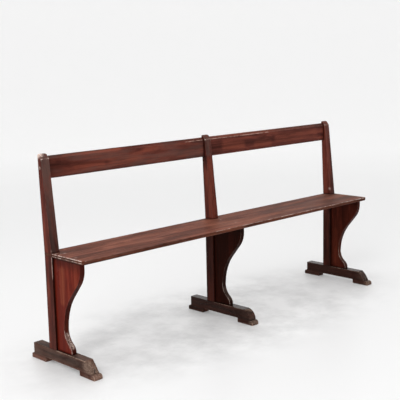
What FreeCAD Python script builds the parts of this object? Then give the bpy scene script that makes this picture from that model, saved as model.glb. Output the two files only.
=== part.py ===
import FreeCAD, Part
import math
import os

# Long open-backed hall bench, all sizes in millimetres.
# Frame: +X runs along the seat, the sitter faces -Y, +Z is up.
# Origin: on the floor, at the middle of the length and of the feet.

# ---- driving dimensions ----
overall_height = 840.0
seat_length = 1820.0
seat_height = 457.0
seat_thickness = 17.0
seat_front_y = -167.0
seat_rear_y = 77.5
seat_top_edge_radius = 3.0
seat_bottom_edge_radius = 7.0
seat_corner_radius = 12.0
notch_clearance = 0.5

trestle_spacing = 890.0

foot_length = 409.0
foot_width = 40.0
pad_thickness = 20.0
runner_height = 46.0
runner_rear_y = 188.5
runner_top_front_y = -147.0
runner_bottom_front_y = {"left": -184.0, "centre": -189.0, "right": -184.0}
runner_front_bulge = {"left": 1.5, "centre": 12.0, "right": 3.5}
front_pad_length = 91.5
rear_pad_length = 96.5
toe_radius = 11.0
heel_radius = 7.0

post_width = 38.0
post_front_y = 34.0
post_rear_y = 80.0
post_top_front_y = 74.5
post_top_rear_y = 94.5
post_cap_fall = 19.0
post_cap_flat = 6.0
post_cap_radius = 6.0

bracket_thickness = 22.0
bracket_nose_y = -134.0
bracket_nose_length = 24.3
bracket_belly_radius = 102.0
bracket_slope_angle = 39.6
bracket_slope_length = 69.0
bracket_waist_radius = 222.0
bracket_heel_radius = 66.0
bracket_heel_angle = 54.5
bracket_toe_radius = 37.6
housing_depth = 6.0

rail_bottom_z = 742.0
rail_top_z = 830.0
rail_thickness = 12.0
rail_bevel_fall = 11.0
rail_bevel_depth = 9.0

# ---- joinery ----
post_tenon_thickness = 14.0
post_tenon_length = 34.0
wedge_length = 32.0
wedge_thick_end = 3.0
wedge_thin_end = 0.8
wedge_shares = (1 / 3, 2 / 3)
bracket_tenon_thickness = 10.0
bracket_tenon_rear_y = 8.0
bracket_tenon_length = 50.0
bracket_tenon_depth = 20.0
rail_tenon_length = 12.0
rail_tenon_thickness = 6.0
rail_tenon_haunch = 8.0

# ---- fasteners ----
screw_shank_radius = 2.0
screw_head_radius = 4.0
screw_head_height = 3.0
screw_tip_length = 6.0
seat_screw_ys = (0.0, -95.0)
seat_screw_length = 45.0
plug_radius = 4.5
plug_depth = 5.0
pad_screw_length = 42.0
pad_screw_recess = 1.5
pad_screw_spacing = 46.0
rail_nail_radius = 1.6
rail_nail_length = 60.0
rail_nail_head_radius = 3.2
rail_nail_head_height = 1.5
rail_peg_radius = 2.5

# ---- derived levels and lines ----
foot_top_z = pad_thickness + runner_height
seat_under_z = seat_height - seat_thickness
toe_y = -foot_length / 2
heel_y = foot_length / 2
trestles = {"left": -trestle_spacing, "centre": 0.0, "right": trestle_spacing}
rail_spans = {"left": (-trestle_spacing, 0.0), "right": (0.0, trestle_spacing)}
rail_mid_z = (rail_bottom_z + rail_top_z) / 2


def point(x, y, z):
    return FreeCAD.Vector(x, y, z)


def box(x0, x1, y0, y1, z0, z1):
    return Part.makeBox(x1 - x0, y1 - y0, z1 - z0, point(x0, y0, z0))


def prism(edges, x_mid, width):
    """Extrude a closed outline drawn in the YZ plane to a width centred on x_mid."""
    face = Part.Face(Part.Wire(edges))
    solid = face.extrude(point(width, 0, 0))
    solid.translate(point(x_mid - width / 2, 0, 0))
    return solid


def polygon_edges(corners):
    """Straight edges round a list of (y, z) corners."""
    vectors = [point(0, y, z) for y, z in corners]
    following = vectors[1:] + vectors[:1]
    return [Part.LineSegment(a, b).toShape() for a, b in zip(vectors, following)]


def cut_all(solid, tools):
    for tool in tools:
        solid = solid.cut(tool)
    return solid


def post_rear_at(z):
    """Y of the leaning rear face of a post, above the seat."""
    rise = (z - seat_height) / (overall_height - seat_height)
    return post_rear_y + rise * (post_top_rear_y - post_rear_y)


def post_front_at(z):
    """Y of the leaning front face of a post, above the seat."""
    rise = (z - seat_height) / (overall_height - seat_height)
    return post_front_y + rise * (post_top_front_y - post_front_y)


def post_blank(x_mid):
    """The sawn post: upright below the seat, leaning and tapering above, its top eased."""
    cap_z = overall_height - post_cap_fall
    corners = [
        (post_front_y, foot_top_z),
        (post_rear_y, foot_top_z),
        (post_rear_y, seat_height),
        (post_top_rear_y, overall_height),
        (post_top_rear_y - post_cap_flat, overall_height),
        (post_front_at(cap_z), cap_z),
        (post_front_y, seat_height),
    ]
    side_shape = prism(polygon_edges(corners), x_mid, post_width)
    half = post_width / 2
    front_shape = box(x_mid - half, x_mid + half, 0, 2 * post_top_rear_y, foot_top_z, overall_height)
    top_sides = [
        edge for edge in front_shape.Edges
        if edge.BoundBox.ZMin > cap_z and edge.BoundBox.XLength < half
    ]
    return side_shape.common(front_shape.makeFillet(post_cap_radius, top_sides))


def post_tenon(x_mid):
    half = post_tenon_thickness / 2
    front = post_front_y + housing_depth
    return box(x_mid - half, x_mid + half, front, front + post_tenon_length, pad_thickness, foot_top_z)


def tenon_wedges(x_mid):
    """Two wedges driven up into the foot of the post tenon."""
    half = post_tenon_thickness / 2
    front = post_front_y + housing_depth
    wedges = []
    for share in wedge_shares:
        y_mid = front + share * post_tenon_length
        corners = [
            (y_mid - wedge_thick_end / 2, pad_thickness),
            (y_mid + wedge_thick_end / 2, pad_thickness),
            (y_mid + wedge_thin_end / 2, pad_thickness + wedge_length),
            (y_mid - wedge_thin_end / 2, pad_thickness + wedge_length),
        ]
        wedges.append(prism(polygon_edges(corners), x_mid, 2 * half))
    return wedges


def rail_outline(rear_inset, depth, z0, z1):
    """Corners of a strip that follows the posts' rear faces."""
    return [
        (post_rear_at(z0) - rear_inset - depth, z0),
        (post_rear_at(z0) - rear_inset, z0),
        (post_rear_at(z1) - rear_inset, z1),
        (post_rear_at(z1) - rear_inset - depth, z1),
    ]


def rail_tenon(x_shoulder, outward):
    """Barefaced stub tenon on the front half of a rail; outward is +1 or -1 along X."""
    inset = rail_thickness - rail_tenon_thickness
    z0 = rail_bottom_z + rail_tenon_haunch
    z1 = rail_top_z - rail_bevel_fall - rail_tenon_haunch
    corners = rail_outline(inset, rail_tenon_thickness, z0, z1)
    x_mid = x_shoulder + outward * rail_tenon_length / 2
    return prism(polygon_edges(corners), x_mid, rail_tenon_length)


def rail(x_from, x_to):
    """A back rail between two posts, its front arris bevelled, with a tenon at each end."""
    x0 = x_from + post_width / 2
    x1 = x_to - post_width / 2
    corners = rail_outline(0, rail_thickness, rail_bottom_z, rail_top_z)
    front_top_y = corners[3][0]
    arris_z = rail_top_z - rail_bevel_fall
    arris_y = post_rear_at(arris_z) - rail_thickness
    corners[3:] = [(front_top_y + rail_bevel_depth, rail_top_z), (arris_y, arris_z)]
    board = prism(polygon_edges(corners), (x0 + x1) / 2, x1 - x0)
    return board.fuse([rail_tenon(x0, -1), rail_tenon(x1, 1)]).removeSplitter()


def arc_chord(radius, heading, turn):
    """Chord of an arc that leaves at heading, measured from straight down towards +Y."""
    length = 2 * radius * math.sin(abs(turn) / 2)
    direction = heading + turn / 2
    return point(0, length * math.sin(direction), -length * math.cos(direction))


def bracket_outline():
    """Closed ogee outline: straight runs and tangent arcs from the nose down to the foot."""
    y = bracket_nose_y
    z = seat_under_z
    heading = 0.0
    slope = math.radians(bracket_slope_angle)
    kick = math.radians(bracket_heel_angle)
    moves = [
        ("line", bracket_nose_length, 0.0),
        ("arc", bracket_belly_radius, slope),
        ("line", bracket_slope_length, 0.0),
        ("arc", bracket_waist_radius, -slope),
        ("arc", bracket_heel_radius, -kick),
        ("arc", bracket_toe_radius, kick),
    ]
    edges = []
    for kind, size, turn in moves:
        start = point(0, y, z)
        if kind == "line":
            y += size * math.sin(heading)
            z -= size * math.cos(heading)
            edges.append(Part.LineSegment(start, point(0, y, z)).toShape())
            continue
        middle = start + arc_chord(size, heading, turn / 2)
        end = start + arc_chord(size, heading, turn)
        y = end.y
        z = end.z
        heading += turn
        edges.append(Part.Arc(start, middle, end).toShape())
    rear = post_front_y + housing_depth
    corners = [
        point(0, y, z),
        point(0, y, foot_top_z),
        point(0, rear, foot_top_z),
        point(0, rear, seat_under_z),
        point(0, bracket_nose_y, seat_under_z),
    ]
    for a, b in zip(corners, corners[1:]):
        edges.append(Part.LineSegment(a, b).toShape())
    return edges


def bracket_tenon(x_mid):
    half = bracket_tenon_thickness / 2
    rear = bracket_tenon_rear_y
    floor_z = foot_top_z - bracket_tenon_depth
    return box(x_mid - half, x_mid + half, rear - bracket_tenon_length, rear, floor_z, foot_top_z)


def bracket_housing(x_mid):
    """Groove in the post's front that takes the rear edge of the bracket."""
    half = bracket_thickness / 2
    rear = post_front_y + housing_depth
    return box(x_mid - half, x_mid + half, post_front_y, rear, foot_top_z, seat_under_z)


def screw(x, y, z_head, length, pointing):
    """Countersunk wood screw; z_head is its head's flat face, pointing is -1 down or +1 up."""
    axis = point(0, 0, pointing)
    base = point(x, y, z_head)
    head = Part.makeCone(screw_head_radius, screw_shank_radius, screw_head_height, base, axis)
    shank_base = base + axis * screw_head_height
    shank_length = length - screw_head_height - screw_tip_length
    shank = Part.makeCylinder(screw_shank_radius, shank_length, shank_base, axis)
    tip_base = shank_base + axis * shank_length
    tip = Part.makeCone(screw_shank_radius, 0, screw_tip_length, tip_base, axis)
    return head.fuse([shank, tip]).removeSplitter()


def seat_screws(x_mid):
    z_head = seat_height - plug_depth
    return [screw(x_mid, y, z_head, seat_screw_length, -1) for y in seat_screw_ys]


def seat_plugs(x_mid):
    z0 = seat_height - plug_depth
    return [Part.makeCylinder(plug_radius, plug_depth, point(x_mid, y, z0)) for y in seat_screw_ys]


def pad_screw_ys():
    """Two screws in each pad, evenly about its middle."""
    mids = (toe_y + front_pad_length / 2, heel_y - rear_pad_length / 2)
    return [mid + side * pad_screw_spacing / 2 for mid in mids for side in (-1, 1)]


def pad_screws(x_mid):
    return [screw(x_mid, y, pad_screw_recess, pad_screw_length, 1) for y in pad_screw_ys()]


def pad_screw_wells(x_mid):
    """Short bores below the pad screws' heads."""
    bases = [point(x_mid, y, 0) for y in pad_screw_ys()]
    return [Part.makeCylinder(screw_head_radius, pad_screw_recess, base) for base in bases]


def rail_tenon_mid_y(z):
    return post_rear_at(z) - rail_thickness + rail_tenon_thickness / 2


def rail_nail(x_post, inward):
    """Nail driven through the outer face of an end post into the end of its rail."""
    axis = point(inward, 0, 0)
    x_outer = x_post - inward * post_width / 2
    base = point(x_outer, rail_tenon_mid_y(rail_mid_z), rail_mid_z)
    head = Part.makeCylinder(rail_nail_head_radius, rail_nail_head_height, base, axis)
    shank = Part.makeCylinder(rail_nail_radius, rail_nail_length, base, axis)
    return head.fuse(shank).removeSplitter()


def rail_pegs():
    """Two pegs through the rear of the centre post, one in each rail tenon, cut off flush."""
    offset = post_width / 2 - rail_tenon_length / 2
    y_tip = post_rear_at(rail_mid_z) - rail_thickness - rail_peg_radius
    length = post_top_rear_y - y_tip
    pegs = []
    for side in (-1, 1):
        base = point(side * offset, y_tip, rail_mid_z)
        peg = Part.makeCylinder(rail_peg_radius, length, base, point(0, 1, 0))
        pegs.append(peg.common(post_blank(0.0)))
    return pegs


def post(name):
    x_mid = trestles[name]
    solid = post_blank(x_mid).fuse(post_tenon(x_mid)).removeSplitter()
    tools = [bracket_housing(x_mid)] + tenon_wedges(x_mid) + fasteners_in_post[name]
    if name != "left":
        tools.append(rail_tenon(x_mid - post_width / 2, 1))
    if name != "right":
        tools.append(rail_tenon(x_mid + post_width / 2, -1))
    return cut_all(solid, tools)


def bracket(x_mid):
    board = prism(bracket_outline(), x_mid, bracket_thickness)
    board = board.fuse(bracket_tenon(x_mid)).removeSplitter()
    return cut_all(board, seat_screws(x_mid))


def runner(name):
    """Straight bar of the foot, its front end sloped or rounded over, mortised for post and bracket."""
    x_mid = trestles[name]
    top_front = point(0, runner_top_front_y, foot_top_z)
    low_front = point(0, runner_bottom_front_y[name], pad_thickness)
    chord = low_front - top_front
    outward = point(0, chord.z, -chord.y).normalize()
    middle = (top_front + low_front) * 0.5 + outward * runner_front_bulge[name]
    corners = [
        low_front,
        point(0, runner_rear_y, pad_thickness),
        point(0, runner_rear_y, foot_top_z),
        top_front,
    ]
    edges = [Part.LineSegment(a, b).toShape() for a, b in zip(corners, corners[1:])]
    edges.append(Part.Arc(top_front, middle, low_front).toShape())
    bar = prism(edges, x_mid, foot_width)
    tools = [post_tenon(x_mid), bracket_tenon(x_mid)] + pad_screws(x_mid)
    return cut_all(bar, tools)


def pad(x_mid, y_inner, y_end, radius):
    """A pad under one end of a runner, its projecting upper edge rounded."""
    side = math.copysign(1.0, y_end)
    bend = radius * (1 - math.sin(math.radians(45)))
    arc_start = point(0, y_end, pad_thickness - radius)
    arc_end = point(0, y_end - side * radius, pad_thickness)
    arc_middle = point(0, y_end - side * bend, pad_thickness - bend)
    corners = [
        arc_end,
        point(0, y_inner, pad_thickness),
        point(0, y_inner, 0),
        point(0, y_end, 0),
        arc_start,
    ]
    edges = [Part.LineSegment(a, b).toShape() for a, b in zip(corners, corners[1:])]
    edges.append(Part.Arc(arc_start, arc_middle, arc_end).toShape())
    block = prism(edges, x_mid, foot_width)
    return cut_all(block, pad_screws(x_mid) + pad_screw_wells(x_mid))


def seat_board():
    """The long board, notched round the posts, with rounded front and end edges."""
    half = seat_length / 2
    board = box(-half, half, seat_front_y, seat_rear_y, seat_under_z, seat_height)
    corners = [
        edge for edge in board.Edges
        if edge.BoundBox.ZLength > seat_thickness / 2 and edge.BoundBox.YMax < 0
    ]
    board = board.makeFillet(seat_corner_radius, corners)
    for z, radius in ((seat_height, seat_top_edge_radius), (seat_under_z, seat_bottom_edge_radius)):
        rim = [
            edge for edge in board.Edges
            if edge.BoundBox.ZMin > z - radius / 2 and edge.BoundBox.ZMax < z + radius / 2
            and edge.BoundBox.YMin < seat_rear_y - radius
        ]
        board = board.makeFillet(radius, rim)
    reach = post_width / 2 + notch_clearance
    notch_front = post_front_y - notch_clearance
    notches = []
    for x_mid in trestles.values():
        x0 = x_mid - reach
        x1 = x_mid + reach
        notches.append(box(x0, x1, notch_front, seat_rear_y, seat_under_z, seat_height))
    holes = []
    for x_mid in trestles.values():
        holes += seat_screws(x_mid) + seat_plugs(x_mid)
    return cut_all(board, notches + holes)


fasteners_in_post = {
    "left": [rail_nail(-trestle_spacing, 1)],
    "centre": rail_pegs(),
    "right": [rail_nail(trestle_spacing, -1)],
}

nodes = {"seat_board": seat_board()}
for name, (x_from, x_to) in rail_spans.items():
    ends = [fastener for group in fasteners_in_post.values() for fastener in group]
    nodes["back_rail_" + name] = cut_all(rail(x_from, x_to), ends)
for name, x_mid in trestles.items():
    nodes["post_" + name] = post(name)
    nodes["seat_bracket_" + name] = bracket(x_mid)
    nodes["foot_runner_" + name] = runner(name)
    nodes["front_foot_pad_" + name] = pad(x_mid, toe_y + front_pad_length, toe_y, toe_radius)
    nodes["rear_foot_pad_" + name] = pad(x_mid, heel_y - rear_pad_length, heel_y, heel_radius)
    nodes["post_tenon_wedges_" + name] = Part.Compound(tenon_wedges(x_mid))
    nodes["seat_screws_" + name] = Part.Compound(seat_screws(x_mid))
    nodes["seat_screw_plugs_" + name] = Part.Compound(seat_plugs(x_mid))
    nodes["pad_screws_" + name] = Part.Compound(pad_screws(x_mid))
nodes["rail_nail_left"] = fasteners_in_post["left"][0]
nodes["rail_nail_right"] = fasteners_in_post["right"][0]
nodes["rail_tenon_pegs_centre"] = Part.Compound(fasteners_in_post["centre"])

os.makedirs("parts", exist_ok=True)
for name, shape in nodes.items():
    print(name, "valid" if shape.isValid() else "INVALID", len(shape.Solids), round(shape.Volume))
    shape.exportStep("parts/" + name + ".step")
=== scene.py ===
import math
import random

import bmesh
import bpy
from mathutils import Matrix, Vector, noise
from mathutils.bvhtree import BVHTree
from mathutils.kdtree import KDTree


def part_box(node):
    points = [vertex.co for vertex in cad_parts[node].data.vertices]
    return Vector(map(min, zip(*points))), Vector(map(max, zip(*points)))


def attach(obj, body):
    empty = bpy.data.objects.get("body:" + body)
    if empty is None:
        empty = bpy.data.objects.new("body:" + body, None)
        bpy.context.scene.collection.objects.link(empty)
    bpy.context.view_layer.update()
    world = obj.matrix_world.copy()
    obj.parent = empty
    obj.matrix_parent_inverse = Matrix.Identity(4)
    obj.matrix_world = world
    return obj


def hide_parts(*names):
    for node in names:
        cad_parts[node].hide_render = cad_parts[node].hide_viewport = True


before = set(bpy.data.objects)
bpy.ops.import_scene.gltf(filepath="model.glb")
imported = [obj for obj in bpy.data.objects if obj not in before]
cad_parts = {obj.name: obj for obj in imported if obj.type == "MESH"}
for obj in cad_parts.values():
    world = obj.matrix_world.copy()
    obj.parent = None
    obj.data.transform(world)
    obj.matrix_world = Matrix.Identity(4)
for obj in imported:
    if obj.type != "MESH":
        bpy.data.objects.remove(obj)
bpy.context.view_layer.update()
MM = 0.001
SIDES = ("left", "centre", "right")

# ---------------------------------------------------------------- levels and places, from the frame

SEAT_LOW, SEAT_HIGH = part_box("seat_board")
SEAT_TOP = SEAT_HIGH.z
SEAT_UNDER = SEAT_LOW.z
RAIL_LOW, RAIL_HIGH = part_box("back_rail_left")
RAIL_BOTTOM = RAIL_LOW.z
RAIL_TOP = RAIL_HIGH.z
RAIL_FACE = RAIL_LOW.y + 4.2 * MM      # just inside the rails' sloping front
POST_LOW, POST_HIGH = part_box("post_left")
POST_TOP = POST_HIGH.z
POST_FRONT = POST_LOW.y
POST_REAR = POST_HIGH.y
LEFT_POST_SIDE = POST_HIGH.x
FOOT_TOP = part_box("foot_runner_left")[1].z
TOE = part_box("front_foot_pad_left")[0].y


def middle_x(name):
    """The middle of a node along the bench."""
    low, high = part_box(name)
    return (low.x + high.x) / 2


TRESTLE_X = {side: middle_x("post_" + side) for side in SIDES}


def srgb(red, green, blue):
    """A linear RGBA colour from 0-255 display values."""
    def one(value):
        c = value / 255
        return c / 12.92 if c <= 0.04045 else ((c + 0.055) / 1.055) ** 2.4
    return (one(red), one(green), one(blue), 1.0)


def fade(value, low, high):
    """0 at low and 1 at high, with a soft start and end."""
    share = max(0.0, min(1.0, (value - low) / (high - low)))
    return share * share * (3 - 2 * share)


# ---------------------------------------------------------------- camera

CAMERA_PLACE = Vector((-2.7907, -2.6964, 1.2095))
CAMERA_YAW = 0.77877
CAMERA_PITCH = -0.16844
CAMERA_ROLL = -0.022447
CAMERA_LENS_MM = 77.96
SENSOR_MM = 36
CAMERA_REACH = 100


def make_camera():
    ahead = Vector((math.sin(CAMERA_YAW) * math.cos(CAMERA_PITCH),
                    math.cos(CAMERA_YAW) * math.cos(CAMERA_PITCH),
                    math.sin(CAMERA_PITCH)))
    level = Vector((math.cos(CAMERA_YAW), -math.sin(CAMERA_YAW), 0))
    upright = level.cross(ahead)
    right = level * math.cos(CAMERA_ROLL) + upright * math.sin(CAMERA_ROLL)
    up = upright * math.cos(CAMERA_ROLL) - level * math.sin(CAMERA_ROLL)
    data = bpy.data.cameras.new("camera")
    data.lens = CAMERA_LENS_MM
    data.sensor_width = SENSOR_MM
    data.clip_end = CAMERA_REACH
    camera = bpy.data.objects.new("camera", data)
    turn = Matrix((right, up, -ahead)).transposed().to_4x4()
    camera.matrix_world = Matrix.Translation(CAMERA_PLACE) @ turn
    bpy.context.scene.collection.objects.link(camera)
    bpy.context.scene.camera = camera


# ---------------------------------------------------------------- node trees

class Graph:
    """Short calls for building one material's node tree."""

    def __init__(self, name):
        self.material = bpy.data.materials.new(name)
        self.material.use_nodes = True
        self.tree = self.material.node_tree
        self.shader = self.tree.nodes["Principled BSDF"]

    def node(self, kind, **settings):
        made = self.tree.nodes.new(kind)
        for key, value in settings.items():
            setattr(made, key, value)
        return made

    def put(self, socket, value):
        if isinstance(value, bpy.types.NodeSocket):
            self.tree.links.new(value, socket)
        else:
            socket.default_value = value

    def attribute(self, name):
        made = self.node("ShaderNodeAttribute", attribute_name=name)
        return made.outputs["Vector" if name == "wood_co" else "Fac"]

    def object_place(self):
        return self.node("ShaderNodeTexCoord").outputs["Object"]

    def maths(self, operation, a, b=0.0, c=0.0, clamp=False):
        made = self.node("ShaderNodeMath", operation=operation, use_clamp=clamp)
        for socket, value in zip(made.inputs, (a, b, c)):
            self.put(socket, value)
        return made.outputs[0]

    def times(self, a, b, clamp=False):
        return self.maths("MULTIPLY", a, b, clamp=clamp)

    def times_plus(self, a, b, c, clamp=False):
        return self.maths("MULTIPLY_ADD", a, b, c, clamp)

    def scaled(self, vector, by):
        made = self.node("ShaderNodeVectorMath", operation="MULTIPLY")
        self.put(made.inputs[0], vector)
        made.inputs[1].default_value = by
        return made.outputs[0]

    def shifted(self, vector, by):
        made = self.node("ShaderNodeVectorMath", operation="ADD")
        self.put(made.inputs[0], vector)
        self.put(made.inputs[1], by)
        return made.outputs[0]

    def length(self, vector):
        made = self.node("ShaderNodeVectorMath", operation="LENGTH")
        self.put(made.inputs[0], vector)
        return made.outputs["Value"]

    def noise(self, vector, scale, detail=3.0, rough=0.55, twist=0.0):
        made = self.node("ShaderNodeTexNoise")
        self.put(made.inputs["Vector"], vector)
        made.inputs["Scale"].default_value = scale
        made.inputs["Detail"].default_value = detail
        made.inputs["Roughness"].default_value = rough
        made.inputs["Distortion"].default_value = twist
        return made.outputs["Fac"]

    def ramp(self, value, low, high, out_low=0.0, out_high=1.0, kind="SMOOTHSTEP"):
        made = self.node("ShaderNodeMapRange", interpolation_type=kind)
        self.put(made.inputs["Value"], value)
        for key, number in (("From Min", low), ("From Max", high), ("To Min", out_low), ("To Max", out_high)):
            self.put(made.inputs[key], number)
        return made.outputs["Result"]

    def mix(self, share, a, b):
        made = self.node("ShaderNodeMix", data_type="RGBA")
        self.put(made.inputs["Factor"], share)
        self.put(made.inputs["A"], a)
        self.put(made.inputs["B"], b)
        return made.outputs["Result"]

    def bump(self, height, strength, distance):
        made = self.node("ShaderNodeBump")
        made.inputs["Strength"].default_value = strength
        made.inputs["Distance"].default_value = distance
        self.put(made.inputs["Height"], height)
        self.put(self.shader.inputs["Normal"], made.outputs["Normal"])


# ---------------------------------------------------------------- studio

FLOOR_RADIUS = 7.0
FLOOR_SWEEP = 3.5
WALL_TOP = 7.0
FLOOR_SIDES = 96
SWEEP_STEPS = 12

FLOOR_WHITE = (0.76, 0.76, 0.76, 1)
# painted shadow: darker and paler mottles on the floor near the bench
SHADOW_MOTTLE_SCALE = 4.5
SHADOW_MOTTLE_DARK = 0.61
SHADOW_MOTTLE_PALE = 0.80
SHADOW_MOTTLE_NEAR = 0.55        # how far from the middle the painted shadow mottle begins to fade, and where it is gone
SHADOW_MOTTLE_FAR = 1.35
NARROWER = (1.0, 2.2, 1.0)  # the painted shadow is longer than it is deep, as the bench is
GLOW_NEAR = 1.4
GLOW_FAR = 8.0
GLOW_LOW = 0.094
GLOW_HIGH = 0.26


def floor_profile():
    """Radius and height of each ring: flat near the bench, then a quarter circle up into a wall."""
    steps = [(0.0, 0.0), (1.2, 0.0), (2.5, 0.0), (4.5, 0.0), (FLOOR_RADIUS, 0.0)]
    for i in range(1, SWEEP_STEPS + 1):
        a = math.pi / 2 * i / SWEEP_STEPS
        steps.append((FLOOR_RADIUS + FLOOR_SWEEP * math.sin(a), FLOOR_SWEEP * (1 - math.cos(a))))
    steps.append((FLOOR_RADIUS + FLOOR_SWEEP, WALL_TOP))
    return steps


def floor_ring(bm, radius, height):
    """The corners of one ring, or a single point at the middle."""
    if radius == 0:
        return [bm.verts.new((0, 0, 0))]
    angles = [2 * math.pi * k / FLOOR_SIDES for k in range(FLOOR_SIDES)]
    return [bm.verts.new((radius * math.cos(a), radius * math.sin(a), height)) for a in angles]


def floor_material():
    """Pale, with a painted mottled shadow near the bench. It glows a little, and more toward the wall."""
    g = Graph("studio_floor")
    place = g.object_place()
    g.shader.inputs["Roughness"].default_value = 0.42
    g.shader.inputs["Specular IOR Level"].default_value = 0.35
    g.shader.inputs["Emission Color"].default_value = (1, 1, 1, 1)
    glow = g.ramp(g.length(place), GLOW_NEAR, GLOW_FAR, GLOW_LOW, GLOW_HIGH)
    g.put(g.shader.inputs["Emission Strength"], glow)
    clouds = g.noise(place, SHADOW_MOTTLE_SCALE, 6.0, 0.68)
    # painted shadow mottle, which fades out away from the bench
    painted_shadow_mottle = g.ramp(clouds, 0.38, 0.60, SHADOW_MOTTLE_DARK, SHADOW_MOTTLE_PALE, kind="LINEAR")
    away = g.ramp(g.length(g.scaled(place, NARROWER)), SHADOW_MOTTLE_NEAR, SHADOW_MOTTLE_FAR)
    g.put(g.shader.inputs["Base Color"], g.mix(away, painted_shadow_mottle, FLOOR_WHITE))
    return g.material


def make_floor():
    """A round pale floor that sweeps up into a wall far from the bench on every side."""
    bm = bmesh.new()
    rings = [floor_ring(bm, radius, height) for radius, height in floor_profile()]
    for inner, outer in zip(rings, rings[1:]):
        for k in range(FLOOR_SIDES):
            n = (k + 1) % FLOOR_SIDES
            if len(inner) == 1:
                bm.faces.new((inner[0], outer[k], outer[n]))
            else:
                bm.faces.new((inner[k], outer[k], outer[n], inner[n]))
    for face in bm.faces:
        face.smooth = True
    mesh = bpy.data.meshes.new("studio_floor")
    bm.to_mesh(mesh)
    bm.free()
    floor = bpy.data.objects.new("studio_floor", mesh)
    bpy.context.scene.collection.objects.link(floor)
    mesh.materials.append(floor_material())


def make_light(name, place, target, size, power):
    """A square white area light that looks at a target."""
    data = bpy.data.lights.new(name, "AREA")
    data.shape = "RECTANGLE"
    data.size = size
    data.size_y = size
    data.energy = power
    light = bpy.data.objects.new(name, data)
    light.location = place
    light.rotation_euler = (Vector(target) - Vector(place)).to_track_quat("-Z", "Y").to_euler()
    bpy.context.scene.collection.objects.link(light)


def make_world(strength):
    world = bpy.data.worlds.new("studio")
    world.use_nodes = True
    background = world.node_tree.nodes["Background"]
    background.inputs["Color"].default_value = (1, 1, 1, 1)
    background.inputs["Strength"].default_value = strength
    bpy.context.scene.world = world


# ---------------------------------------------------------------- wood meshes

JOINED = 0.004 * MM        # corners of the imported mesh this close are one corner
COPLANAR = math.radians(0.6)
SHARP = math.radians(24)
SHADING_SHARP = math.radians(50)
ON_THE_CUT = 0.02 * MM
TOUCHING = 1.3 * MM        # an edge this close to a neighbour is covered
BURIED = 0.6 * MM          # a face this close to a neighbour is part of a joint, and stays where it is
BURIED_SINK = 0.05 * MM
FAR_GAP = 30 * MM
CORNER_PROBE = 6 * MM      # how far in front of a face a neighbour has to stand for dirt and painted corner shade to gather beside it
EDGE_STEP = 3 * MM
LINE_STEP = 2 * MM
BEVEL_SEGMENTS = 3
POINTS_PER_KNOCK = 45
WEAR_WIDTH = 2.2 * MM
NO_EDGE = 1.0              # metres, for a piece whose every edge is covered
trees = {}


def cad_tree(name):
    """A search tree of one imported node's surface."""
    if name not in trees:
        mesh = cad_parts[name].data
        places = [v.co.copy() for v in mesh.vertices]
        trees[name] = BVHTree.FromPolygons(places, [tuple(p.vertices) for p in mesh.polygons])
    return trees[name]


def cleaned(name):
    """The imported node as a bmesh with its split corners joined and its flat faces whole."""
    bm = bmesh.new()
    bm.from_mesh(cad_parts[name].data)
    bmesh.ops.remove_doubles(bm, verts=bm.verts, dist=JOINED)
    bmesh.ops.dissolve_limit(bm, angle_limit=COPLANAR, verts=bm.verts, edges=bm.edges)
    bmesh.ops.recalc_face_normals(bm, faces=bm.faces)
    return bm


def sharp_edges(bm):
    """The edges that stick out."""
    return [e for e in bm.edges if len(e.link_faces) == 2 and e.is_convex
            and e.calc_face_angle(0) > SHARP]


def points_between(a, b, step):
    count = max(1, round((b - a).length / step))
    return [a.lerp(b, i / count) for i in range(count + 1)]


def exposed_points(edges, others):
    """Points along the edges that no neighbouring piece covers."""
    found = []
    for edge in edges:
        for point in points_between(edge.verts[0].co, edge.verts[1].co, EDGE_STEP):
            if all(tree.find_nearest(point, TOUCHING)[0] is None for tree in others):
                found.append(point)
    return found


def point_tree(points):
    tree = KDTree(max(1, len(points)))
    for i, point in enumerate(points):
        tree.insert(point, i)
    tree.balance()
    return tree


def round_over(bm, edges, arris):
    bmesh.ops.bevel(bm, geom=edges, offset=arris * MM, segments=BEVEL_SEGMENTS, profile=0.5, affect="EDGES",
                    clamp_overlap=True, offset_type="OFFSET")


def slice_up(bm, cell):
    """Cuts the faces into cells of about this size, in mm, along each axis."""
    places = [v.co for v in bm.verts]
    for axis in range(3):
        low = min(p[axis] for p in places)
        high = max(p[axis] for p in places)
        count = max(1, round((high - low) / (cell[axis] * MM)))
        normal = [0, 0, 0]
        normal[axis] = 1
        for i in range(1, count):
            point = [0, 0, 0]
            point[axis] = low + (high - low) * i / count
            geometry = bm.verts[:] + bm.edges[:] + bm.faces[:]
            bmesh.ops.bisect_plane(bm, geom=geometry, dist=ON_THE_CUT, plane_co=point, plane_no=normal)
    bmesh.ops.triangulate(bm, faces=[f for f in bm.faces if len(f.verts) > 4])
    bm.normal_update()


def fractal(point, scale, seed, octaves=3):
    """Seeded noise at a point, from about -1 to 1."""
    place = Vector(point) * scale + Vector((seed * 7.31, seed * 3.17, seed * 1.93))
    return noise.fractal(place, 0.9, 2.1, octaves)


def reach_to(point, start, end):
    """How far a point is from a straight stretch between two others."""
    along = end - start
    share = max(0.0, min(1.0, (point - start).dot(along) / max(along.length_squared, 1e-12)))
    return (point - start - along * share).length


def painted(point, marks):
    """The strongest of some soft marks at a point. A mark is (start, end, radius in mm, strength)."""
    found = 0.0
    for start, end, radius, strength in marks:
        gap = reach_to(point, Vector(start), Vector(end)) / (radius * MM)
        if gap < 1:
            found = max(found, strength * (1 - gap * gap) ** 1.5)
    return found


def gap_to(others, point):
    """The distance to the nearest neighbouring piece, up to FAR_GAP."""
    gap = FAR_GAP
    for other in others:
        hit = other.find_nearest(point, gap)
        if hit[0] is not None:
            gap = min(gap, hit[3])
    return gap


def edge_knocks(rng, points, dents):
    """Small dents here and there along the edges: place, radius and depth."""
    knocks = []
    for _ in range(int(len(points) / POINTS_PER_KNOCK)):
        knocks.append((rng.choice(points), rng.uniform(3, 9) * MM, rng.uniform(0.3, 1) * dents * MM))
    return knocks


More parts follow.
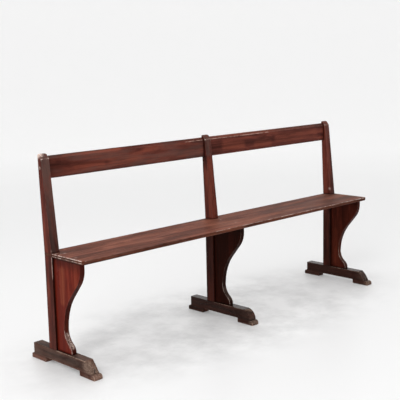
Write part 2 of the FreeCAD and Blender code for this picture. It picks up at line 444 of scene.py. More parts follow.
def sunk(co, seed, uneven, wear, rubbed, edge_far, near_gap, knocks):
    """How far a point is worn in: uneven faces, worn edges and knocks, but not inside a joint."""
    sink = uneven * MM * (0.5 + 0.5 * max(-1, min(1, fractal(co, 9, seed))))
    worn = max(0.0, fractal(co, 22, seed + 5) * 0.8 + 0.35) * (0.6 + rubbed)
    sink += wear * MM * worn * math.exp(-((edge_far / WEAR_WIDTH) ** 2))
    for place, radius, depth in knocks:
        gap = (co - place).length
        if gap < radius:
            sink += depth * (1 - (gap / radius) ** 2) ** 2
    return min(sink, BURIED_SINK) if near_gap < BURIED else sink


def nothing(co, normal):
    return 0.0


def add_layers(mesh, layers):
    """Writes the values that the material reads, one per point."""
    for title, values in layers.items():
        vector = title == "wood_co"
        layer = mesh.attributes.new(title, "FLOAT_VECTOR" if vector else "FLOAT", "POINT")
        layer.data.foreach_set("vector" if vector else "value", values)


def wooden(name, material, grain, seed, cell, arris=1.1, wear=0.5, uneven=0.25, dents=0.6, rub=0.2,
           zones=(), spots=(), warm=(), lines=(), shade_and_darkening=nothing, bloom_and_sheen=nothing, slot="", near=()):
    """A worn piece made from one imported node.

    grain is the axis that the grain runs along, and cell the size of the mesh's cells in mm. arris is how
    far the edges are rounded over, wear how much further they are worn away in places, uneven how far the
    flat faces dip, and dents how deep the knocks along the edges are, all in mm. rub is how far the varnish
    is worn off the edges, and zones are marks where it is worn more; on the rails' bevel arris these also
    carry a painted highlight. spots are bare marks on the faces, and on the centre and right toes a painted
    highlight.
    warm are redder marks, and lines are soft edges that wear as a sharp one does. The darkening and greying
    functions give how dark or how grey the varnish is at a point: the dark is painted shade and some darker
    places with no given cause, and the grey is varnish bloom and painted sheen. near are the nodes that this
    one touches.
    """
    bm = cleaned(name)
    others = [cad_tree(n) for n in near]
    edges = sharp_edges(bm)
    open_points = exposed_points(edges, others)
    for start, end in lines:
        open_points += points_between(Vector(start), Vector(end), LINE_STEP)
    tree = point_tree(open_points)
    round_over(bm, edges, arris)
    slice_up(bm, cell)

    rng = random.Random(seed)
    knocks = edge_knocks(rng, open_points, dents)
    along = "XYZ".index(grain)
    from_pith = Vector((rng.uniform(0, 5), rng.uniform(-0.05, 0.05), rng.uniform(0.02, 0.09)))
    middle = sum((v.co for v in bm.verts), Vector()) / len(bm.verts)
    layers = {k: [] for k in ("wood_co", "arris_mm", "joint_mm", "rub", "bare_and_highlight", "warm", "shade_and_darkening", "bloom_and_sheen")}
    moves = []
    for v in bm.verts:
        co = v.co.copy()
        normal = v.normal.copy()
        local = co - middle
        edge_far = tree.find(co)[2] if open_points else NO_EDGE
        rubbed = max(rub, painted(co, zones))
        layers["wood_co"].extend(Vector([local[(along + k) % 3] for k in range(3)]) + from_pith)
        layers["arris_mm"].append(edge_far / MM)
        layers["joint_mm"].append(gap_to(others, co + normal * CORNER_PROBE) / MM)
        layers["rub"].append(rubbed)
        layers["bare_and_highlight"].append(painted(co, spots))
        layers["warm"].append(painted(co, warm))
        layers["shade_and_darkening"].append(shade_and_darkening(co, normal))
        layers["bloom_and_sheen"].append(bloom_and_sheen(co, normal))
        sink = sunk(co, seed, uneven, wear, rubbed, edge_far, gap_to(others, co), knocks)
        moves.append((v, normal, sink))
    for v, normal, sink in moves:
        v.co -= normal * sink
    for face in bm.faces:
        face.smooth = True

    mesh = bpy.data.meshes.new(name + "_worn")
    bm.to_mesh(mesh)
    bm.free()
    add_layers(mesh, layers)
    mesh.set_sharp_from_angle(angle=SHADING_SHARP)
    mesh.materials.append(material)
    piece = bpy.data.objects.new(name + "_worn", mesh)
    bpy.context.scene.collection.objects.link(piece)
    weighted = piece.modifiers.new("flat_faces_shade_flat", "WEIGHTED_NORMAL")
    weighted.keep_sharp = True
    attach(piece, "root")
    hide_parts(name)


# ---------------------------------------------------------------- materials

BARE = srgb(214, 178, 156)
BARE_PINK = srgb(198, 160, 146)
BARE_PALE = srgb(206, 188, 176)
BARE_WHITE = srgb(238, 216, 204)
# the feet's bare wood, which also colours the painted highlight on the centre and right toes
BARE_GREY_AND_HIGHLIGHT = srgb(180, 152, 134)
# grey of old varnish bloom, and of painted sheen on the seat, posts and rails
GREY_BLOOM_AND_SHEEN = srgb(84, 66, 61)
# near black, for dirt in the joints and for painted shade
SOOT_AND_SHADE = srgb(20, 8, 5)
DUST = srgb(122, 104, 94)
STEEL_GREY = srgb(96, 90, 86)
RUST = srgb(72, 40, 26)
VARNISH_TINT = (1.0, 0.52, 0.40, 1)
# how dark joint dirt and painted corner shade make the seams
SEAM_DIRT_AND_SHADE = 0.8
RING_FACTOR = 0.314        # the wave node's scale for rings a metre apart

# Each pattern's frequency along the grain and across it, per metre, then its detail, roughness and twist.
PATTERNS = {
    "wander": (1.4, 7, 2.0, 0.55, 0.0),
    "swell": (1.4, 21, 2.5, 0.5, 0.6),
    "blotch": (6.5, 38, 3.0, 0.62, 0.8),
    "streak": (2.8, 95, 4.0, 0.66, 0.4),
    "fibre": (22, 900, 2.0, 0.6, 0.0),
    "pores": (55, 1500, 1.0, 0.55, 0.0),
    "cloud": (2.2, 17, 3.0, 0.6, 0.5),
    "mottle": (9, 60, 3.0, 0.6, 0.0),
    "scratch": (9, 300, 2.0, 0.8, 1.2),
    "ragged": (34, 60, 4.0, 0.7, 0.0),
    "speckle": (60, 190, 3.0, 0.7, 0.0),
    "dust": (14, 40, 4.0, 0.7, 0.0),
    "smear": (6, 16, 4.0, 0.65, 0.8),
}


class Wood(Graph):
    """The parts of a varnished wood: its figure, age, wear, dirt, painted shade, sheen and highlights, gloss
    and relief.
    """

    def __init__(self, name, ring_mm):
        super().__init__(name)
        self.co = self.attribute("wood_co")
        self.arris = self.attribute("arris_mm")
        self.rub = self.attribute("rub")
        self.ring = self.growth_rings(ring_mm)
        self.fibre = self.pattern("fibre")
        self.blotch = self.pattern("blotch")
        self.cloud = self.pattern("cloud")
        self.ragged = self.pattern("ragged")
        self.streak = self.ramp(self.pattern("streak"), 0.32, 0.68)
        self.pores = self.ramp(self.pattern("pores"), 0.58, 0.72)
        self.scratch = self.ramp(self.pattern("scratch"), 0.66, 0.76)
        self.dusty = self.ramp(self.pattern("dust"), 0.38, 0.68)

    def pattern(self, title):
        along, across, detail, rough, twist = PATTERNS[title]
        return self.noise(self.scaled(self.co, (along, across, across)), 1.0, detail, rough, twist)

    def growth_rings(self, ring_mm):
        """Rings round a wandering pith, cut by the piece's faces."""
        bent = self.shifted(self.co, self.scaled(self.pattern("wander"), (0.0, 0.022, 0.03)))
        rings = self.node("ShaderNodeTexWave", wave_type="RINGS", rings_direction="X", wave_profile="SAW")
        self.put(rings.inputs["Vector"], bent)
        rings.inputs["Scale"].default_value = RING_FACTOR / (ring_mm * MM)
        rings.inputs["Distortion"].default_value = 1.6
        rings.inputs["Detail"].default_value = 2.0
        rings.inputs["Detail Scale"].default_value = 0.6
        return rings.outputs["Fac"]

    def figured(self, dark, middle, light, patches, figure):
        """Broad figure, streaks a few millimetres wide, then the fibres and pores."""
        patchy = self.times_plus(self.blotch, 0.4, self.times(self.pattern("swell"), 0.6))
        tone = self.times_plus(self.ring, 0.16, self.times(self.streak, 0.30))
        tone = self.times_plus(self.ramp(patchy, 0.38, 0.62), 0.34, tone)
        tone = self.times_plus(self.fibre, 0.30, tone)
        tone = self.ramp(tone, 0.50 - 0.42 * figure, 0.50 + 0.38 * figure)
        colour = self.mix(tone, dark, middle)
        lit = self.times(self.ramp(patchy, 0.48, 0.66), self.ramp(self.streak, 0.0, 1.0, 0.35, 1.0))
        colour = self.mix(self.times(lit, patches), colour, light)
        dull = self.times_plus(self.blotch, 0.35, self.times(self.cloud, 0.65))
        colour = self.mix(self.times(self.ramp(dull, 0.48, 0.34), 0.5), colour, dark)
        redder = self.times(self.attribute("warm"), self.ramp(self.streak, 0.0, 1.0, 0.45, 1.0))
        colour = self.mix(redder, colour, light)
        return self.mix(self.times(self.pores, 0.45), colour, dark)

    def aged(self, colour, light, scuffs):
        """The grey bloom of old varnish and painted sheen, and the scratches in it."""
        mottle = self.ramp(self.pattern("mottle"), 0.34, 0.60, 0.35, 1.0)
        colour = self.mix(self.times(self.attribute("bloom_and_sheen"), mottle), colour, GREY_BLOOM_AND_SHEEN)
        return self.mix(self.times(self.scratch, 0.6 * scuffs), colour, light)

    def laid_bare_and_highlights(self, wear_mm):
        """Where the varnish is gone: in a broken line along each worn edge, round it, and in bare spots. The
        same mask carries painted highlights: along the rails' bevel arris, and the spots on the centre and
        right toes.
        """
        broken = self.times(self.ramp(self.ragged, 0.34, 0.62, 0.15, 1.0), self.rub)
        width = self.times(broken, wear_mm * 1.7)
        line = self.ramp(self.maths("SUBTRACT", width, self.arris), -0.5, 0.9)
        line = self.times(line, self.times(self.rub, 1.5, clamp=True))
        speckle = self.ramp(self.pattern("speckle"), 0.42, 0.60)
        halo = self.times(self.ramp(self.arris, wear_mm * 4.5, 0.5), self.times(speckle, 0.35))
        halo = self.times(halo, self.rub, clamp=True)
        # bare spots, and the painted toe highlight that the same spots carry
        patch = self.times(self.attribute("bare_and_highlight"), self.ramp(speckle, 0.0, 1.0, 0.35, 1.0), clamp=True)
        return self.maths("MAXIMUM", self.maths("MAXIMUM", self.times(line, 0.92), halo), patch)

    def dirt_and_shade(self, colour, worn_and_highlight, dust):
        """Dirt and painted corner shade in the joints, painted shade and other darkening from each piece's
        own values, and dust.
        """
        # dirt and painted corner shade where a neighbour stands close in front of a face
        close = self.ramp(self.attribute("joint_mm"), 8.0, 0.5)
        seam = self.times(close, self.ramp(self.ragged, 0.75, 0.35, 0.5, 1.0))
        colour = self.mix(self.times(seam, SEAM_DIRT_AND_SHADE), colour, SOOT_AND_SHADE)
        # painted shade, and darker places with no given cause, from the piece's own values
        darkening = self.times(self.attribute("shade_and_darkening"), self.ramp(self.cloud, 0.30, 0.62, 1.0, 0.82), clamp=True)
        darkening = self.times(darkening, self.times_plus(worn_and_highlight, -0.85, 1.0))
        colour = self.mix(darkening, colour, SOOT_AND_SHADE)
        return self.mix(self.times(self.dusty, dust), colour, DUST)

    def glossy(self, worn_and_highlight, dust, rough, sheen):
        """Smeared varnish, duller where it is scratched, dusty or gone."""
        gloss = self.times_plus(self.pattern("smear"), sheen, rough - sheen / 2)
        gloss = self.times_plus(worn_and_highlight, 0.28, gloss)
        gloss = self.times_plus(self.times(self.dusty, dust), 0.35, gloss)
        return self.times_plus(self.scratch, 0.12, gloss, clamp=True)

    def relief(self, worn_and_highlight):
        height = self.times_plus(self.ring, 0.25, self.times(self.fibre, 0.45))
        height = self.times_plus(self.streak, 0.35, height)
        height = self.times_plus(self.pores, -0.5, height)
        height = self.times_plus(self.scratch, -0.5, height)
        return self.times_plus(worn_and_highlight, -0.6, height)


def varnished(name, dark, middle, light, bare_and_highlight, wear_mm=2.0, patches=0.5, figure=1.0, dust=0.0, ring_mm=3.2,
              rough=0.34, scuffs=0.3, gloss_level=0.06, coat=0.03, sheen=0.20):
    """Old varnished wood.

    dark, middle and light are the figure's colours, and the bare colour is the wood under the varnish; it
    also colours the painted highlights that the wear mask carries. wear_mm is how wide the worn lines are,
    patches and scuffs how strong the light patches and scratches are, and figure how soft the change from
    dark to middle is. rough is the middle roughness, and sheen how much it varies.
    """
    g = Wood(name, ring_mm)
    worn_and_highlight = g.laid_bare_and_highlights(wear_mm)
    colour = g.figured(dark, middle, light, patches, figure)
    colour = g.aged(colour, light, scuffs)
    colour = g.mix(worn_and_highlight, colour, g.mix(g.times(g.fibre, 0.4), bare_and_highlight, middle))
    g.put(g.shader.inputs["Base Color"], g.dirt_and_shade(colour, worn_and_highlight, dust))
    g.put(g.shader.inputs["Roughness"], g.glossy(worn_and_highlight, dust, rough, sheen))
    g.shader.inputs["Specular IOR Level"].default_value = gloss_level
    g.shader.inputs["Specular Tint"].default_value = VARNISH_TINT
    g.shader.inputs["Coat Weight"].default_value = coat
    g.shader.inputs["Coat Roughness"].default_value = 0.16
    g.bump(g.relief(worn_and_highlight), 0.35, 0.35 * MM)
    return g.material


def old_steel(name):
    """Dull screw and nail heads with brown rust."""
    g = Graph(name)
    co = g.object_place()
    rust = g.ramp(g.noise(co, 260, 4.0, 0.7), 0.42, 0.62)
    g.put(g.shader.inputs["Base Color"], g.mix(rust, STEEL_GREY, RUST))
    g.put(g.shader.inputs["Metallic"], g.maths("SUBTRACT", 0.9, g.times(rust, 0.8)))
    g.put(g.shader.inputs["Roughness"], g.times_plus(rust, 0.4, 0.38))
    g.bump(g.noise(co, 900, 3.0), 0.4, 0.1 * MM)
    return g.material


seat_wood = varnished(
    "seat_wood", srgb(64, 30, 21), srgb(128, 73, 56), srgb(160, 98, 76), BARE_WHITE,
    wear_mm=1.2, patches=0.7, figure=0.9, dust=0.08, rough=0.52, scuffs=0.6, gloss_level=0.03, coat=0.0)
rail_wood = varnished(
    "rail_wood", srgb(50, 20, 15), srgb(102, 50, 41), srgb(140, 72, 54), BARE_PINK,
    wear_mm=1.3, scuffs=0.4)
post_wood = varnished(
    "post_wood", srgb(44, 17, 13), srgb(98, 43, 34), srgb(134, 68, 52), BARE_WHITE,
    wear_mm=1.2, figure=0.8, gloss_level=0.045)
bracket_wood = varnished(
    "bracket_wood", srgb(76, 18, 10), srgb(110, 35, 22), srgb(142, 74, 50), BARE_PALE,
    wear_mm=1.8, patches=0.45, rough=0.3, gloss_level=0.04)
# painted shade: a dark copy of the bracket wood for the centre bracket, in the seat's shadow
shaded_bracket_wood = varnished(
    "shaded_bracket_wood", srgb(24, 6, 3), srgb(42, 12, 6), srgb(60, 20, 12), BARE_PALE,
    wear_mm=0.9, rough=0.32, gloss_level=0.03, coat=0.0)
# painted shade: a less dark copy of the bracket wood for the right bracket
half_shaded_bracket_wood = varnished(
    "half_shaded_bracket_wood", srgb(38, 12, 7), srgb(70, 26, 17), srgb(98, 42, 28), BARE_PALE,
    wear_mm=0.9, patches=0.6, rough=0.32, gloss_level=0.03, coat=0.0)
foot_wood = varnished(
    "foot_wood", srgb(34, 20, 16), srgb(74, 50, 42), srgb(112, 80, 68), BARE_GREY_AND_HIGHLIGHT,
    wear_mm=1.6, patches=0.6, figure=0.65, dust=0.20, rough=0.46, gloss_level=0.05)
dark_foot_wood = varnished(
    "dark_foot_wood", srgb(7, 2, 1), srgb(30, 11, 7), srgb(84, 42, 31), BARE_GREY_AND_HIGHLIGHT,
    wear_mm=1.5, patches=0.55, figure=0.6, dust=0.02, rough=0.20, scuffs=0.5, gloss_level=0.16, sheen=0.12)
dark_pad_wood = varnished(
    "dark_pad_wood", srgb(18, 6, 4), srgb(52, 25, 18), srgb(106, 66, 53), BARE_GREY_AND_HIGHLIGHT,
    wear_mm=1.8, patches=0.75, figure=0.75, dust=0.08, gloss_level=0.08)
pad_wood = varnished(
    "pad_wood", srgb(46, 23, 18), srgb(86, 53, 44), srgb(124, 88, 75), BARE_GREY_AND_HIGHLIGHT,
    wear_mm=1.8, patches=0.6, dust=0.2, rough=0.46, gloss_level=0.05)
peg_wood = varnished(
    "peg_wood", srgb(84, 48, 36), srgb(150, 100, 78), srgb(180, 134, 110), BARE,
    wear_mm=0.4, patches=0.4, ring_mm=1.2, gloss_level=0.04)
steel = old_steel("old_steel")


# ---------------------------------------------------------------- painted shade and sheen, and other dark and grey places

def facing(part, low=0.3, high=0.8):
    """1 on a face that looks one way and 0 on one that doesn't. part is its normal's part that way."""
    return fade(part, low, high)


def seat_painted_sheen(co, normal):
    """Painted sheen: the top greyer toward its right-hand end."""
    return (0.08 + 0.52 * fade(co.x, -0.5, 0.7)) * facing(normal.z, 0.5, 0.9)


def seat_painted_shade(co, normal):
    """Painted shade below, behind the posts and on the front edge, and darker ends."""
    under = 0.55 * facing(-normal.z)
    near_post = min(abs(co.x - x) for x in TRESTLE_X.values())
    behind = 0.5 * (1 - fade(near_post, 20 * MM, 60 * MM)) * fade(co.y, 0.0, 50 * MM)
    edge = 0.6 * facing(-normal.y)
    end = 0.7 * facing(abs(normal.x))
    return max(under, behind, edge, end)


def post_painted_shade(look):
    """Painted shade on a post: below the seat, beside the bracket, under the rail, outside and in front."""
    def shade_and_darkening(co, normal):
        below = 1 - fade(co.z, SEAT_UNDER - 10 * MM, SEAT_UNDER + 20 * MM)
        leaning = 1 - fade(co.z, SEAT_TOP + 63 * MM, RAIL_BOTTOM - 2 * MM)
        front = max(below * look["strip"], look["shaded"] * leaning) * facing(-normal.y)
        shadow = fade(co.z, RAIL_BOTTOM - 82 * MM, RAIL_BOTTOM - 7 * MM)
        shadow *= look["rail_shadow"] * (1 - fade(co.z, RAIL_BOTTOM, RAIL_BOTTOM + 8 * MM))
        return max(below * look["lower"], front, max(look["outer"], shadow) * facing(-normal.x))
    return shade_and_darkening


def post_bloom_and_sheen(look):
    """Grey varnish bloom and painted sheen on a post's front face above the seat, more beside the rails, and
    on its eased top.
    """
    def bloom_and_sheen(co, normal):
        above = look["bloom_and_sheen"] * fade(co.z, SEAT_UNDER, SEAT_UNDER + 20 * MM)
        beside = look["high_bloom_and_sheen"] * fade(co.z, RAIL_BOTTOM - 7 * MM, RAIL_BOTTOM + 13 * MM)
        cap = 0.5 * facing(normal.z, 0.1, 0.5) * fade(co.z, POST_TOP - 40 * MM, POST_TOP - 20 * MM)
        return max(cap, max(above, beside) * facing(-normal.y))
    return bloom_and_sheen


def bracket_painted_shade(edge):
    """Painted shade: a bracket is darkest on its shaped front edge and close under the seat, in the seat's
    shadow.
    """
    def shade_and_darkening(co, normal):
        seat_shadow = 0.6 * fade(co.z, SEAT_UNDER - 55 * MM, SEAT_UNDER)
        return max(seat_shadow, edge * facing(1 - abs(normal.x)))
    return shade_and_darkening


# painted shade: a runner's sides darker than its lit top
def runner_side_shade(co, normal):
    return 0.45 * facing(abs(normal.x))


def bevel_share(co, normal):
    """1 on a rail's bevel, which looks up and forward near its top."""
    return facing(normal.z, 0.2, 0.5) * fade(co.z, RAIL_TOP - 30 * MM, RAIL_TOP - 10 * MM)


def left_rail_bloom_and_sheen(co, normal):
    """Greyer varnish in broken patches down the front, and painted sheen on the bevel's left end."""
    patches = fade(fractal((co.x * 0.4, co.y, co.z * 2.2), 12, 4), -0.35, 0.35)
    face = 0.5 * facing(-normal.y, 0.5, 0.9) * patches
    end = 1 - fade(co.x, LEFT_POST_SIDE + 11 * MM, LEFT_POST_SIDE + 91 * MM)
    return max(face, 0.55 * bevel_share(co, normal) * end)


# painted sheen: the bevel greyer
def right_rail_painted_sheen(co, normal):
    return 0.2 * bevel_share(co, normal)


def left_rail_darkening(co, normal):
    """Darker toward the left-hand end and the lower edge."""
    end = 1 - fade(co.x, LEFT_POST_SIDE - 4 * MM, LEFT_POST_SIDE + 271 * MM)
    low = 1 - fade(co.z, RAIL_BOTTOM, RAIL_BOTTOM + 23 * MM)
    return max(0.42 * end, 0.28 * low, 0.08)


# ---------------------------------------------------------------- seat and rails

SEAT_CELL = (6, 6, 6)
RAIL_CELL = (6, 5, 5)
BEVEL_FALL = 11            # mm below a rail's top where its bevel ends


def seat_mark(x0, y0, x1, y1, radius, strength):
    """A mark on the seat's top between two places."""
    return ((x0, y0, SEAT_TOP), (x1, y1, SEAT_TOP), radius, strength)


def rail_mark(x0, down0, x1, down1, radius, strength, y=RAIL_FACE):
    """A mark on a rail between two places, each an x and how many mm below the rail's top it is."""
    return ((x0, y, RAIL_TOP - down0 * MM), (x1, y, RAIL_TOP - down1 * MM), radius, strength)


def make_seat():
    worn_top = SEAT_TOP - 0.9 * MM
    worn_low = SEAT_TOP - 10.5 * MM
    front = SEAT_LOW.y
    end_lines = []
    for x in (SEAT_LOW.x + 0.6 * MM, SEAT_HIGH.x - 0.6 * MM):
        for z in (worn_top, worn_low):
            end_lines.append(((x, front + 10 * MM, z), (x, 30 * MM, z)))
    corner = 12 * MM
    front_line = ((SEAT_LOW.x + corner, front + 0.9 * MM, worn_top),
                  (SEAT_HIGH.x - corner, front + 0.9 * MM, worn_top))
    worn_left_end = (*end_lines[0], 22, 1.25)
    worn_right_end = (*end_lines[2], 22, 0.6)
    worn_front = ((-0.20, front, worn_top), (SEAT_HIGH.x - 60 * MM, front, worn_top), 12, 0.75)
    worn_right_corner = ((SEAT_HIGH.x - 70 * MM, front, worn_top), (SEAT_HIGH.x, front, worn_top), 16, 0.9)
    front_plug_y = -0.095
    round_plugs = [seat_mark(x, front_plug_y, x, front_plug_y, 7, 0.6) for x in TRESTLE_X.values()]
    left = TRESTLE_X["left"]
    left_chips = [seat_mark(left + 17 * MM, 0.0, left + 22 * MM, 2 * MM, 7, 0.7),
                  seat_mark(left - 5 * MM, 20 * MM, left - 3 * MM, 26 * MM, 6, 0.8)]
    redder = [seat_mark(-0.10, -0.06, 0.12, -0.12, 75, 0.45),
              seat_mark(0.30, -0.12, 0.62, -0.10, 30, 0.5),
              seat_mark(-0.70, -0.05, -0.45, -0.08, 28, 0.5)]
    wooden("seat_board", seat_wood, grain="X", seed=11, cell=SEAT_CELL, arris=0.8, wear=0.7, uneven=0.5,
           dents=0.9, rub=0.25, zones=[worn_left_end, worn_right_end, worn_front, worn_right_corner],
           spots=round_plugs + left_chips, warm=redder, lines=end_lines + [front_line],
           shade_and_darkening=seat_painted_shade, bloom_and_sheen=seat_painted_sheen, slot="seat_wood",
           near=["post_" + s for s in SIDES] + ["seat_bracket_" + s for s in SIDES])


def make_rails():
    posts = ["post_" + s for s in SIDES]
    wooden("back_rail_left", rail_wood, grain="X", seed=21, cell=RAIL_CELL, arris=1.0, uneven=0.35, rub=0.12,
           # worn varnish and a painted highlight along the bevel's lower arris
           zones=[rail_mark(-0.12, BEVEL_FALL, -0.02, BEVEL_FALL, 25, 0.7)],
           warm=[rail_mark(-0.793, 6, -0.508, 6, 11, 0.7, y=RAIL_FACE + 4 * MM),
                 rail_mark(-0.56, 40, -0.40, 55, 24, 0.6),
                 rail_mark(-0.74, 55, -0.60, 58, 14, 0.5)],
           shade_and_darkening=left_rail_darkening, bloom_and_sheen=left_rail_bloom_and_sheen, slot="rail_wood", near=posts)
    wooden("back_rail_right", rail_wood, grain="X", seed=22, cell=RAIL_CELL, arris=1.0, uneven=0.35, rub=0.25,
           # worn varnish and a painted highlight along the bevel's lower arris
           zones=[rail_mark(0.02, BEVEL_FALL, 0.42, BEVEL_FALL, 25, 0.8)],
           warm=[rail_mark(0.12, 50, 0.24, 58, 30, 0.55),
                 rail_mark(0.34, 67, 0.44, 67, 26, 0.4),
                 rail_mark(0.50, 45, 0.80, 45, 30, 0.35),
                 # painted highlight: a redder band along the bevel's length
                 rail_mark(0.10, 8, 0.80, 8, 8, 0.5, y=RAIL_FACE + 3 * MM)],
           bloom_and_sheen=right_rail_painted_sheen, slot="rail_wood", near=posts)


# ---------------------------------------------------------------- trestles

POST_CELL = (6, 6, 6)
BRACKET_CELL = (5, 5, 5)
FOOT_CELL = (6, 5, 5)
PLUG_CELL = (2, 2, 3)
WEDGE_CELL = (4, 4, 6)
PEG_CELL = (2, 3, 2)
TINY = dict(wear=0.1, uneven=0.05, dents=0.0, slot="peg_wood")

# How worn and how shaded each trestle is. The left one is pale and scuffed, and the others are dark and
# glossy.
# On the posts, the lower, strip, rail shadow, outer and shaded amounts are painted shade; the centre and
# right brackets take darker copies of the bracket wood as painted shade, the runners' darkening is painted
# shade, and the toe amount after the toe scuff is a painted highlight.
LOOKS = {
    "left": dict(
        lower=0.1, strip=0.92, rail_shadow=0.0, outer=0.0, shaded=0.42, bloom_and_sheen=0.72, high_bloom_and_sheen=0.8,
        bracket=bracket_wood, bracket_edge=0.8, bracket_rub=0.12, bracket_worn=1.0, bracket_scuff=1.1,
        runner=foot_wood, runner_painted_shade=nothing, runner_worn=1.1, toe_scuff=0.65, toe_painted_highlight=0.0,
        pad=pad_wood, pad_scuff=0.6),
    "centre": dict(
        lower=0.80, strip=0.74, rail_shadow=0.85, outer=0.0, shaded=0.0, bloom_and_sheen=0.0, high_bloom_and_sheen=0.6,
        bracket=shaded_bracket_wood, bracket_edge=0.2, bracket_rub=0.3, bracket_worn=1.6, bracket_scuff=0.15,
        runner=dark_foot_wood, runner_painted_shade=runner_side_shade, runner_worn=0.75, toe_scuff=0.08, toe_painted_highlight=0.50,
        pad=dark_pad_wood, pad_scuff=0.45),
    "right": dict(
        lower=0.70, strip=0.64, rail_shadow=0.3, outer=0.34, shaded=0.0, bloom_and_sheen=0.15, high_bloom_and_sheen=0.4,
        bracket=half_shaded_bracket_wood, bracket_edge=0.3, bracket_rub=0.3, bracket_worn=1.6, bracket_scuff=0.15,
        runner=dark_foot_wood, runner_painted_shade=nothing, runner_worn=0.75, toe_scuff=0.08, toe_painted_highlight=0.28,
        pad=dark_pad_wood, pad_scuff=0.45),
}


def post_marks(side, x):
    """A post's worn edges, bare spots and redder stretches, most of them on the left one."""
    cap_y = POST_REAR - 19 * MM
    cap_z = POST_TOP - 20 * MM
    outer = x - 19 * MM
    zones = [((x - 18 * MM, cap_y, cap_z), (x + 18 * MM, cap_y, cap_z), 9, 0.8)]
    spots = []
    warm = []
    if side == "left":
        beside_seat = (outer, POST_FRONT, SEAT_TOP + 5 * MM)
        below_seat = (outer, POST_FRONT, SEAT_UNDER - 80 * MM)
        rear_top = (outer, POST_REAR - 1.5 * MM, POST_TOP - 2 * MM)
        rear_lower = (outer, POST_REAR - 11.5 * MM, POST_TOP - 55 * MM)
        chip_outside = (outer, POST_REAR - 0.5 * MM, POST_TOP - 6 * MM)
        chip_on_top = (x - 12 * MM, POST_REAR - 4.5 * MM, POST_TOP - 1 * MM)
        zones.append((beside_seat, below_seat, 12, 1.1))
        zones.append((rear_top, rear_lower, 10, 1.3))
        spots.append((chip_outside, chip_on_top, 18, 1.8))
    if side == "centre":
        above_seat = (x - 10 * MM, POST_FRONT + 1 * MM, SEAT_TOP + 13 * MM)
        under_rail = (x - 10 * MM, POST_FRONT + 30 * MM, RAIL_BOTTOM - 22 * MM)
        warm.append((above_seat, under_rail, 34, 0.45))
    if side == "right":
        chip_y = POST_FRONT + 6 * MM
        chip_top = (x - 18 * MM, chip_y, SEAT_TOP + 31 * MM)
        chip_foot = (x - 16 * MM, chip_y, SEAT_TOP + 27 * MM)
        spots.append((chip_top, chip_foot, 7, 0.8))
    return dict(zones=zones, spots=spots, warm=warm)


def make_post(i, side, look):
    rails = [r for r in ("back_rail_left", "back_rail_right") if side in (r.split("_")[-1], "centre")]
    wooden("post_" + side, post_wood, grain="Z", seed=31 + i, cell=POST_CELL, arris=1.0, rub=0.1,
           **post_marks(side, TRESTLE_X[side]), shade_and_darkening=post_painted_shade(look), bloom_and_sheen=post_bloom_and_sheen(look),
           slot="post_wood",
           near=["seat_bracket_" + side, "foot_runner_" + side, "seat_board"] + rails)


def make_bracket(i, side, look):
    """A bracket, worn and scuffed where its front edge flares out above the foot."""
    x = TRESTLE_X[side]
    redder_face = ((x, -20 * MM, SEAT_UNDER - 40 * MM), (x, -15 * MM, SEAT_UNDER - 170 * MM), 24, 0.85)
    redder_waist = ((x, 0.0, SEAT_UNDER - 180 * MM), (x, 0.0, FOOT_TOP + 34 * MM), 30, 0.5)
    warm = {"left": [redder_face], "centre": [], "right": [redder_waist]}[side]
    flare_top = (x, -20 * MM, FOOT_TOP + 84 * MM)
    flare_foot = (x, -60 * MM, FOOT_TOP + 4 * MM)
    scuff_top = (x, -20 * MM, FOOT_TOP + 70 * MM)
    scuff_foot = (x, -50 * MM, FOOT_TOP + 28 * MM)
    wooden("seat_bracket_" + side, look["bracket"], grain="Z", seed=41 + i, cell=BRACKET_CELL, arris=1.2,
           wear=0.6, rub=look["bracket_rub"], warm=warm,
           spots=[(scuff_top, scuff_foot, 15, look["bracket_scuff"])],
           zones=[(flare_top, flare_foot, 34, look["bracket_worn"])],
           shade_and_darkening=bracket_painted_shade(look["bracket_edge"]), slot="bracket_wood",
           near=["post_" + side, "foot_runner_" + side, "seat_board"])


def across(x, half, y, z):
    """The two ends of a mark that runs across a foot."""
    return ((x - half, y, z), (x + half, y, z))


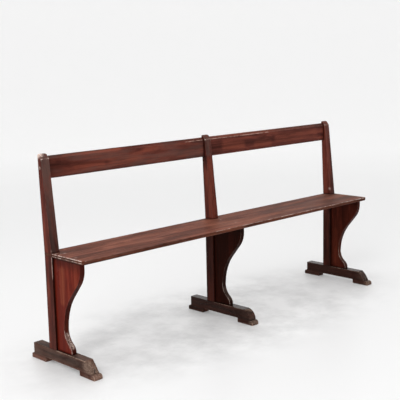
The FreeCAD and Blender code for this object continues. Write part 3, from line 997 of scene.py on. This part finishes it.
def make_foot(i, side, look):
    """The runner and its two pads, scuffed at the toe, with a painted highlight on the upper curve of the
    centre and right toes.
    """
    x = TRESTLE_X[side]
    outer = x - 20 * MM
    runner = "foot_runner_" + side
    front = "front_foot_pad_" + side
    rear = "rear_foot_pad_" + side
    redder = [((x, -0.2, 30 * MM), (x, 0.2, 30 * MM), 90, 0.2)] if side == "right" else []
    top_edge = ((outer, 30 * MM, FOOT_TOP), (outer, TOE + 64.5 * MM, FOOT_TOP))
    slope = ((x - 10 * MM, TOE + 44.5 * MM, 45 * MM), (x, TOE + 19.5 * MM, 22 * MM))
    # the painted highlight on the toe's upper curve lies between these two places
    brow_rear = (x - 10 * MM, TOE + 49.5 * MM, FOOT_TOP - 2 * MM)
    brow_front = (x + 12 * MM, TOE + 36.5 * MM, FOOT_TOP - 6 * MM)
    wooden(runner, look["runner"], grain="Y", seed=51 + i, cell=FOOT_CELL, arris=1.4, wear=0.8, dents=1.2,
           rub=0.4, warm=redder, shade_and_darkening=look["runner_painted_shade"],
           zones=[(*top_edge, 22, look["runner_worn"])],
           spots=[(*slope, 34, look["toe_scuff"]), (brow_rear, brow_front, 12, look["toe_painted_highlight"])],
           slot="foot_wood", near=["post_" + side, "seat_bracket_" + side, front, rear])
    wooden(front, look["pad"], grain="Y", seed=61 + i, cell=FOOT_CELL, arris=1.3, wear=0.9, dents=1.2,
           rub=0.5, warm=redder,
           zones=[(*across(x, 20 * MM, TOE + 4.5 * MM, 10 * MM), 24, 0.9)],
           spots=[(*across(x, 10 * MM, TOE + 4.5 * MM, 12 * MM), 26, look["pad_scuff"])],
           slot="foot_wood", near=[runner])
    wooden(rear, look["pad"], grain="Y", seed=71 + i, cell=FOOT_CELL, arris=1.3, wear=0.9, dents=1.2,
           rub=0.4, warm=redder, slot="foot_wood", near=[runner])


def make_trestle(i, side):
    look = LOOKS[side]
    make_post(i, side, look)
    make_bracket(i, side, look)
    make_foot(i, side, look)
    wooden("seat_screw_plugs_" + side, peg_wood, grain="X", seed=81 + i, cell=PLUG_CELL, arris=0.3, **TINY)
    wooden("post_tenon_wedges_" + side, peg_wood, grain="Z", seed=91 + i, cell=WEDGE_CELL, arris=0.2, **TINY)


def finish_metal():
    """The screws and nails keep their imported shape."""
    for name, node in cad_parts.items():
        if name.startswith(("seat_screws_", "pad_screws_", "rail_nail_")):
            node.data.materials.clear()
            node.data.materials.append(steel)


bpy.context.scene.view_settings.view_transform = "Standard"
make_camera()
make_floor()
make_world(strength=0.67)
make_light("key", place=(-5.5, -2.6, 4.6), target=(-0.2, 0, 0.35), size=2.4, power=200)
make_light("overhead", place=(0.2, 0.1, 4.4), target=(0, 0, 0), size=3.2, power=48)
make_seat()
make_rails()
for number, trestle in enumerate(SIDES):
    make_trestle(number, trestle)
wooden("rail_tenon_pegs_centre", peg_wood, grain="Y", seed=99, cell=PEG_CELL, arris=0.3, **TINY)
finish_metal()
